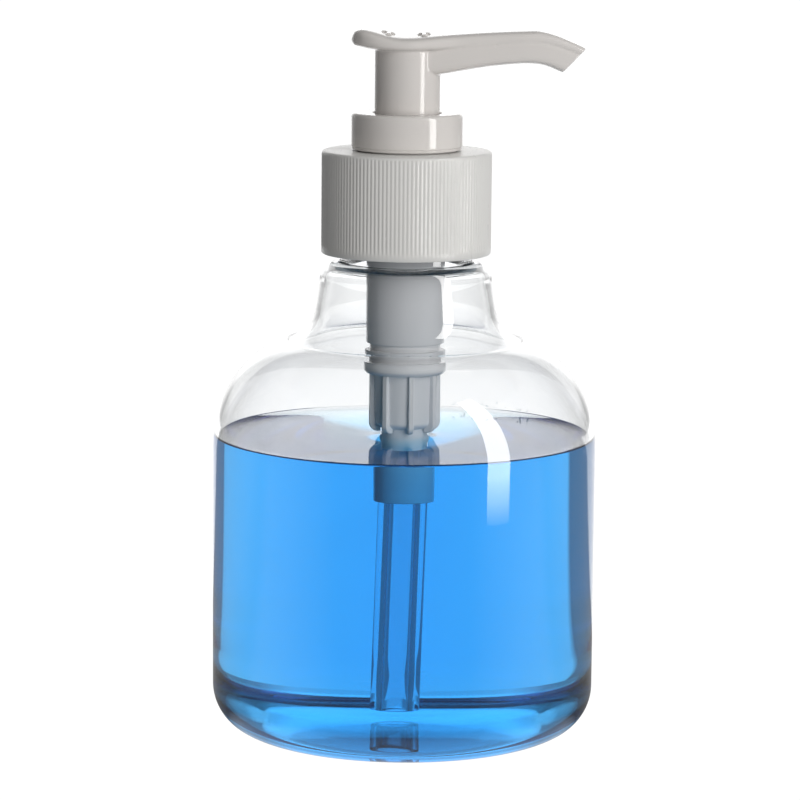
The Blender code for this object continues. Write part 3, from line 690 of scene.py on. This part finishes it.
def make_tube():
    """The dip tube, smooth, with slightly rounded cut ends, leaning as it does in its socket."""
    outline = rounded([(TUBE_BORE, TUBE_TOP, 0.1), (TUBE_RADIUS, TUBE_TOP, 0.15),
                       (TUBE_RADIUS, TUBE_FOOT, 0.12), (TUBE_BORE, TUBE_FOOT, 0.12)], 3)
    item = revolved("milky_tube", outline, 72, sharp=40)
    pivot = Vector((0, 0, TUBE_LEAN_Z * MM))
    tilt = Matrix.Rotation(math.radians(TUBE_LEAN), 4, "Y")
    item.data.transform(Matrix.Translation(pivot) @ tilt @ Matrix.Translation(-pivot))
    milky = (0.95, 0.97, 0.99)
    dress(item, glassy("tube_plastic", milky, TUBE_IN_SOAP_IOR, 0.01, 0.03, 0.9, clear=0.97))
    item.data.materials.append(glassy("tube_bore", milky, TUBE_IOR, 0.01, 0.03, 0.9, clear=0.97))
    for face in item.data.polygons:
        spot = pivot - tilt.to_3x3() @ Vector((0, 0, 1)) * (pivot.z - face.center.z)
        if math.dist(face.center.xy, spot.xy) < (TUBE_BORE + 0.1) * MM and abs(face.normal.z) < 0.3:
            face.material_index = 1
    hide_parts("dip_tube")
    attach(item, "pump")


# ---------------------------------------------------------------- actuator

TOP_LINE = ((-10.6, 131.3), (-10.2, 132.5), (-9.3, 133.15), (-8.3, 133.3), (-5.9, 132.9), (-3.6, 132.3),
            (-1.5, 132.05), (1.5, 132.05), (5.9, 132.35), (15.2, 132.95), (22.0, 133.25), (24.5, 133.25),
            (27.6, 132.5), (30.4, 131.4), (34.2, 129.7))
CREASE_LINE = ((-10.6, 131.3), (-10.2, 130.5), (-9.0, 130.1), (-7.0, 129.7), (-4.0, 129.35), (-1.3, 129.3),
               (5.9, 129.5), (15.2, 130.1), (22.0, 130.75), (26.0, 130.6), (30.0, 129.5), (34.2, 128.0))
BELLY_LINE = ((-7.0, 125.0), (6.2, 125.1), (10.0, 125.75), (15.2, 126.6), (19.0, 127.0), (22.3, 127.2),
              (25.4, 126.9), (28.8, 125.55), (31.0, 124.5), (34.2, 123.0))
PLATE_WIDTH = ((-10.6, 0.3), (-10.2, 2.4), (-9.3, 4.1), (-7.6, 5.6), (-4.0, 6.9), (0.0, 7.3), (4.0, 6.4),
               (9.0, 5.0), (15.0, 4.45), (22.0, 4.2), (34.2, 3.55))
SPOUT_WIDTH = ((-7.0, 4.8), (8.0, 4.75), (15.0, 4.35), (22.0, 4.12), (34.2, 3.48))


def along(line, x):
    """A smooth curve through the line's points, read at x."""
    xs = [p[0] for p in line]
    zs = [p[1] for p in line]
    if x <= xs[0]:
        return zs[0]
    if x >= xs[-1]:
        return zs[-1]
    k = max(i for i in range(len(xs) - 1) if xs[i] <= x)
    width = xs[k + 1] - xs[k]
    t = (x - xs[k]) / width

    def slope(i):
        if i == 0 or i == len(xs) - 1:
            j = min(max(i, 1), len(xs) - 1)
            return (zs[j] - zs[j - 1]) / (xs[j] - xs[j - 1])
        left = (zs[i] - zs[i - 1]) / (xs[i] - xs[i - 1])
        right = (zs[i + 1] - zs[i]) / (xs[i + 1] - xs[i])
        return 0.0 if left * right < 0 else (left + right) / 2

    a, b = slope(k) * width, slope(k + 1) * width
    return ((2 * t ** 3 - 3 * t ** 2 + 1) * zs[k] + (t ** 3 - 2 * t ** 2 + t) * a
            + (-2 * t ** 3 + 3 * t ** 2) * zs[k + 1] + (t ** 3 - t ** 2) * b)


def lofted(name, stations, section):
    """A closed skin over the loops that section gives at each station along X."""
    loops = [section(x) for x in stations]
    verts = [(x * MM, y * MM, z * MM) for x, loop in zip(stations, loops) for y, z in loop]
    return solid(name, verts, tube_faces(len(loops), len(loops[0])), 60)


def plate_section(x):
    """The head plate: a nearly flat top with rounded shoulders, thinner towards its lower rim."""
    top, low, half = along(TOP_LINE, x), along(CREASE_LINE, x), along(PLATE_WIDTH, x)
    middle = low + (top - low) * 0.42
    loop = []
    for k in range(56):
        angle = k * math.tau / 56
        c, s = math.cos(angle), math.sin(angle)
        y = half * math.copysign(abs(c) ** 0.5, c)
        height = (top - middle) if s >= 0 else (middle - low)
        loop.append((y, middle + height * math.copysign(abs(s) ** 0.7, s)))
    return loop


def spout_section(x):
    """The spout under the plate: flat flanks and a rounded belly."""
    top = (along(TOP_LINE, x) + along(CREASE_LINE, x)) / 2
    low, half = along(BELLY_LINE, x), along(SPOUT_WIDTH, x)
    middle = (top + low) / 2
    loop = []
    for k in range(48):
        angle = k * math.tau / 48
        c, s = math.cos(angle), math.sin(angle)
        loop.append((half * math.copysign(abs(c) ** 0.42, c),
                     middle + (top - middle) * math.copysign(abs(s) ** 0.42, s)))
    return loop


def arrow(name, x, reach, side):
    """A raised arrow on the head's top, a plain mark for the way the head turns."""
    shape = [(-0.38, -reach), (0.38, -reach), (0.38, reach - 1.5), (1.25, reach - 1.5), (0.0, reach + 0.3),
             (-1.25, reach - 1.5), (-0.38, reach - 1.5)]
    verts = []
    for lift in (-0.6, 0.42):
        for dx, dy in shape:
            px, py = x + dx, side + dy
            drop = 0.35 * (abs(py) / along(PLATE_WIDTH, px)) ** 4
            verts.append((px * MM, py * MM, (along(TOP_LINE, px) - drop + lift) * MM))
    count = len(shape)
    faces = [list(range(count))[::-1], list(range(count, 2 * count))]
    for k in range(count):
        n = (k + 1) % count
        faces.append([k, n, count + n, count + k])
    return solid(name, verts, faces, 30)


def make_duct():
    """The bore of the spout, which arches from over the stem out through the mouth."""
    steps, ring = 30, 24
    centre = bend((-0.8, 128.0), (20.0, 131.6), (35.0, 126.9), steps)
    verts = []
    for i, (x, z) in enumerate(centre):
        ahead, behind = centre[min(i + 1, steps)], centre[max(i - 1, 0)]
        run = Vector((ahead[0] - behind[0], ahead[1] - behind[1])).normalized()
        for k in range(ring):
            angle = k * math.tau / ring
            up, side = DUCT_RADIUS * math.sin(angle), DUCT_RADIUS * math.cos(angle)
            verts.append(((x - run.y * up) * MM, side * MM, (z + run.x * up) * MM))
    return solid("duct_space", verts, tube_faces(steps + 1, ring), 60)


def make_mouth_cut():
    """The slab beyond the spout's slanted mouth."""
    a, b = Vector((33.2, 130.1)), Vector((28.75, 125.5))
    run = (a - b).normalized()
    out = Vector((run.y, -run.x))
    corners = [b - run * 6, a + run * 6, a + run * 6 + out * 9, b - run * 6 + out * 9]
    verts = [(p.x * MM, y * MM, p.y * MM) for y in (-9, 9) for p in corners]
    faces = [[0, 1, 2, 3], [7, 6, 5, 4], [0, 4, 5, 1], [1, 5, 6, 2], [2, 6, 7, 3], [3, 7, 4, 0]]
    return solid("mouth_cut", verts, faces, 30)


def make_actuator():
    tail = [-10.6, -10.55, -10.45, -10.3, -10.1, -9.8, -9.5, -9.2]
    plate = lofted("pump_head", tail + list(np.arange(-8.8, 34.3, 0.4)), plate_section)
    spout = lofted("spout_body", list(np.arange(-3.6, 34.3, 0.4)), spout_section)
    skirt_line = rounded([(0.0, 130.4, 0), (6.13, 130.4, 0), (6.13, 114.8, 0.15), (5.1, 114.8, 0.15),
                          (5.1, 119.5, 0), (3.4, 119.5, 0), (3.4, 126.0, 0), (2.0, 126.0, 0),
                          (2.0, 128.0, 0), (0.0, 128.0, 0)])
    skirt = revolved("skirt", skirt_line, 96, closed=False, sharp=40)
    arrows = [arrow("arrow_a", -3.6, 3.2, 0.0), arrow("arrow_b", 3.0, 3.2, 0.0)]
    combine(plate, [skirt, spout] + arrows, "UNION")
    inner = revolved("stem_space", [(0.0, 129.0), (2.0, 129.0), (2.0, 126.0), (3.4, 126.0), (3.4, 119.5),
                                    (5.1, 119.5), (5.1, 113.0), (0.0, 113.0)], 96, closed=False, sharp=40)
    combine(plate, [inner, make_duct(), make_mouth_cut()], "DIFFERENCE")
    remesh = plate.modifiers.new("skin", "REMESH")
    remesh.mode = "VOXEL"
    remesh.voxel_size = SKIN_VOXEL * MM
    remesh.use_smooth_shade = True
    soften = plate.modifiers.new("soften", "SMOOTH")
    soften.factor = 0.5
    soften.iterations = 5
    applied(plate, 80)
    dress(plate, plastic("head_plastic", (0.80, 0.765, 0.735), (0.77, 0.735, 0.705), 0.11, 0.0015))
    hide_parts("actuator")
    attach(plate, "head")


def dress_hidden_pieces():
    """Looks for the CAD pieces that stay as they are, most of them inside the pump."""
    white = plastic("stem_plastic", (0.80, 0.79, 0.78), (0.77, 0.76, 0.75), 0.25, 0.002)
    soft = plastic("seal_rubber", (0.62, 0.63, 0.64), (0.55, 0.56, 0.57), 0.5, 0.01)
    milky = plastic("piston_plastic", (0.74, 0.76, 0.79), (0.70, 0.72, 0.75), 0.35, 0.004)
    foam = plastic("gasket_foam", (0.72, 0.73, 0.72), (0.64, 0.65, 0.64), 0.65, 0.03)
    nodes = frame["nodes"]
    for name, look in (("stem", white), ("valve_rod", white), ("piston", milky), ("stem_seal", soft),
                       ("neck_gasket", foam)):
        dress(nodes[name], look)
    dress(nodes["inlet_ball"], metal("ball_steel", (0.66, 0.66, 0.67), 0.08))


# ---------------------------------------------------------------- studio

def panel(name, corners, material, shown_to):
    """A flat sheet of the studio, seen only by the named kinds of ray."""
    mesh = bpy.data.meshes.new(name)
    mesh.from_pydata([tuple(c) for c in corners], [], [tuple(range(len(corners)))])
    item = place(name, mesh)
    material.cycles.emission_sampling = "NONE"
    item.data.materials.append(material)
    for kind in ("camera", "diffuse", "glossy", "transmission", "shadow", "volume_scatter"):
        setattr(item, "visible_" + kind, kind in shown_to)


def glow(name, strength, drift=0.03):
    """An evenly lit sheet with a faint unevenness."""
    look = Look(name)
    return look.lit(look.spread(look.noise(3, 2.0), strength * (1 - drift), strength * (1 + drift)))


def front_level(look, x, y):
    """The light of the room that is seen through the bottle: dim in front, brighter beside it, 0 behind."""
    slant = look.maths("DIVIDE", y, look.maths("ADD", look.maths("ABSOLUTE", x, 0.0), 0.02))
    return look.maths("MULTIPLY", look.spread(slant, 1.0, 0.0, -0.1, 0.12),
                      look.spread(slant, 0.2, 0.6, -1.1, -0.35))


def floor_look(name, mirrored):
    """A pale sheet with a bright wedge that widens behind the bottle, and dim to both sides of it.
    The bottle's front mirrors a dim sheet. A view from behind or beside sees a bright one through it."""
    look = Look(name)
    split = look.node("ShaderNodeSeparateXYZ", Vector=look.place)
    x, y = split.outputs["X"], split.outputs["Y"]
    soft = look.maths("ADD", look.maths("MULTIPLY", y, 0.03), 0.002)
    left = look.maths("SUBTRACT", x, look.maths("SUBTRACT", 0.0318, look.maths("MULTIPLY", y, 0.71)))
    right = look.maths("SUBTRACT", look.maths("SUBTRACT", look.maths("MULTIPLY", y, 1.08), 0.0412), x)
    shares = []
    for past_line in (left, right):
        share = look.spread(look.maths("DIVIDE", past_line, soft), 0.0, 1.0, -0.5, 0.5)
        shares.append(look.maths("MULTIPLY", share, look.maths("GREATER_THAN", y, 0.0)))
    wedge = look.maths("MULTIPLY", *shares)
    dim = look.spread(y, 0.1, 0.34, -0.1, 0.06)
    level = look.maths("ADD", dim, look.maths("MULTIPLY", wedge, look.maths("SUBTRACT", 1.22, dim)))
    length = look.node("ShaderNodeVectorMath")
    length.operation = "LENGTH"
    look.feed(length.inputs[0], look.place)
    away = length.outputs["Value"]
    if mirrored:
        # Painted pool of light: a bright patch on the floor just in front of the bottle, within 4 to 5 cm of
        # its axis, which the bottle's low front wall mirrors.
        front = look.maths("MULTIPLY", look.spread(away, 0.6, 0.0, 0.040, 0.050),
                           look.spread(y, 1.0, 0.0, -0.012, 0.0))
    else:
        # Painted shadow: the room light seen through the bottle is kept off the floor close to the bottle,
        # rising to full 9 cm from its axis.
        front = look.maths("MULTIPLY", front_level(look, x, y), look.spread(away, 0.0, 1.0, 0.04, 0.09))
    # Painted shadow of the bottle: the sheet is halved under the bottle's foot and rises to full brightness
    # 5 cm from its axis.
    level = look.maths("MULTIPLY", level, look.spread(away, 0.5, 1.0, 0.036, 0.05))
    return look.lit(look.maths("MAXIMUM", level, front))


def wall_look(name, mirrored):
    """The walls of the room: dim where the bottle's front mirrors them, bright where seen through it."""
    look = Look(name)
    split = look.node("ShaderNodeSeparateXYZ", Vector=look.place)
    level = look.spread(split.outputs["Y"], 0.06, 0.3, -0.6, 0.6)
    if not mirrored:
        level = look.maths("MAXIMUM", level, front_level(look, split.outputs["X"], split.outputs["Y"]))
    return look.lit(level)


def make_room():
    """Eight dim walls and a ceiling, which only mirrored and bent rays see."""
    step = 360.0 / ROOM_WALLS
    turns = [math.radians(step * (k + 0.5)) for k in range(ROOM_WALLS)]
    base = [(ROOM_RADIUS * math.cos(t), ROOM_RADIUS * math.sin(t)) for t in turns]
    mirrored, seen_through = wall_look("wall_mirrored", True), wall_look("wall_seen_through", False)
    for k in range(ROOM_WALLS):
        (ax, ay), (bx, by) = base[k], base[(k + 1) % ROOM_WALLS]
        corners = [(ax, ay, ROOM_FOOT), (bx, by, ROOM_FOOT), (bx, by, ROOM_TOP), (ax, ay, ROOM_TOP)]
        panel("wall_%d_mirrored" % k, corners, mirrored, ("glossy",))
        panel("wall_%d" % k, corners, seen_through, ("transmission",))
    ceiling = [(x, y, ROOM_TOP) for x, y in base]
    panel("ceiling", ceiling, glow("ceiling_glow", ROOM_GLOW), ("glossy", "transmission"))


def backdrop_look():
    """A lit sheet, brightest in its middle a little above the height of the bottle."""
    look = Look("backdrop_sheet")
    split = look.node("ShaderNodeSeparateXYZ", Vector=look.place)
    rise = look.spread(split.outputs["Z"], 1.12, 1.75, 0.08, 0.14)
    fall = look.spread(split.outputs["Z"], 1.0, 0.4, 0.26, 0.5)
    beside = look.maths("ABSOLUTE", split.outputs["X"], 0.0)
    sides = look.spread(beside, 1.0, 0.45, 0.22, 0.36)
    foot = look.spread(split.outputs["Z"], 0.95, 1.0, 0.025, 0.06)
    level = look.maths("MULTIPLY", look.maths("MULTIPLY", rise, fall), sides)
    return look.lit(look.maths("MULTIPLY", level, foot))


def lamp(name, spot, width, height, power):
    """A broad lamp that lights matt surfaces only."""
    data = bpy.data.lights.new(name, "AREA")
    data.shape = "RECTANGLE"
    data.size, data.size_y = width, height
    data.energy = power
    data.cycles.use_multiple_importance_sampling = False
    item = bpy.data.objects.new(name, data)
    bpy.context.scene.collection.objects.link(item)
    item.location = spot
    item.rotation_euler = (Vector(LAMP_TARGET) - Vector(spot)).to_track_quat("-Z", "Y").to_euler()
    item.visible_glossy = item.visible_transmission = item.visible_camera = False


def make_studio():
    square = [(x * FLOOR_REACH, y * FLOOR_REACH, FLOOR_Z) for x, y in ((-1, -1), (1, -1), (1, 1), (-1, 1))]
    panel("floor", square, glow("pale_floor", PAPER_WHITE, 0.01), ("camera",))
    lower = [(x, y, 2 * FLOOR_Z) for x, y, _ in square]
    panel("floor_mirrored", lower, floor_look("floor_mirrored", True), ("glossy",))
    panel("floor_seen_through", lower, floor_look("floor_seen_through", False), ("transmission",))
    back = [(x * BACKDROP_REACH, BACKDROP_Y, z)
            for x, z in ((-1, FLOOR_Z), (1, FLOOR_Z), (1, BACKDROP_TOP), (-1, BACKDROP_TOP))]
    panel("backdrop", back, backdrop_look(), ("glossy", "transmission"))
    make_room()
    key_light()
    for settings in LAMPS:
        lamp(*settings)
    world()


def key_light():
    """A tall strip softbox to the right of the camera, standing on the table."""
    azimuth = math.radians(KEY_ANGLE)
    middle = Vector((math.sin(azimuth), -math.cos(azimuth), 0.0)) * KEY_DISTANCE
    side = Vector((math.cos(azimuth), math.sin(azimuth), 0.0)) * KEY_HALF_WIDTH
    foot, top = Vector((0, 0, KEY_FOOT)), Vector((0, 0, KEY_TOP))
    corners = [middle - side + foot, middle + side + foot, middle + side + top, middle - side + top]
    look = Look("key_sheet")
    split = look.node("ShaderNodeSeparateXYZ", Vector=look.place)
    level = look.spread(split.outputs["Z"], 0.0, 9.0, 0.0, 0.014)
    panel("key_softbox", corners, look.lit(level, (1.0, 0.99, 0.975)), ("glossy",))


def world():
    """White to the camera, and a dim grey room to every other ray."""
    made = bpy.data.worlds.new("studio")
    bpy.context.scene.world = made
    made.use_nodes = True
    tree = made.node_tree
    tree.nodes.clear()
    out = tree.nodes.new("ShaderNodeOutputWorld")
    room, white = tree.nodes.new("ShaderNodeBackground"), tree.nodes.new("ShaderNodeBackground")
    room.inputs["Color"].default_value = (1.0, 1.0, 1.0, 1.0)
    room.inputs["Strength"].default_value = ROOM_GLOW
    white.inputs["Color"].default_value = (1.0, 1.0, 1.0, 1.0)
    white.inputs["Strength"].default_value = PAPER_WHITE
    path, mix = tree.nodes.new("ShaderNodeLightPath"), tree.nodes.new("ShaderNodeMixShader")
    tree.links.new(path.outputs["Is Camera Ray"], mix.inputs[0])
    tree.links.new(room.outputs[0], mix.inputs[1])
    tree.links.new(white.outputs[0], mix.inputs[2])
    tree.links.new(mix.outputs[0], out.inputs["Surface"])


def make_camera():
    data = bpy.data.cameras.new("camera")
    data.sensor_width = 36.0
    data.lens = LENS
    data.clip_start, data.clip_end = 0.05, 20.0
    item = bpy.data.objects.new("camera", data)
    bpy.context.scene.collection.objects.link(item)
    dip = Matrix.Rotation(math.pi / 2 - CAMERA_DIP, 4, "X")
    roll = Matrix.Rotation(CAMERA_ROLL, 4, "Z")
    item.matrix_world = Matrix.Translation(CAMERA_SPOT) @ dip @ roll
    bpy.context.scene.camera = item


def set_render():
    scene = bpy.context.scene
    scene.view_settings.view_transform = "Standard"
    scene.view_settings.look = "None"
    cycles = scene.cycles
    cycles.max_bounces = 32
    cycles.transmission_bounces = 28
    cycles.transparent_max_bounces = 24
    cycles.glossy_bounces = 6
    cycles.diffuse_bounces = 3
    cycles.caustics_reflective = False
    cycles.caustics_refractive = False
    cycles.sample_clamp_indirect = 8.0


make_bottle()
make_soap()
make_droplets()
make_closure()
make_collar()
make_housing()
make_spring()
make_tube()
make_actuator()
dress_hidden_pieces()
make_studio()
make_camera()
set_render()
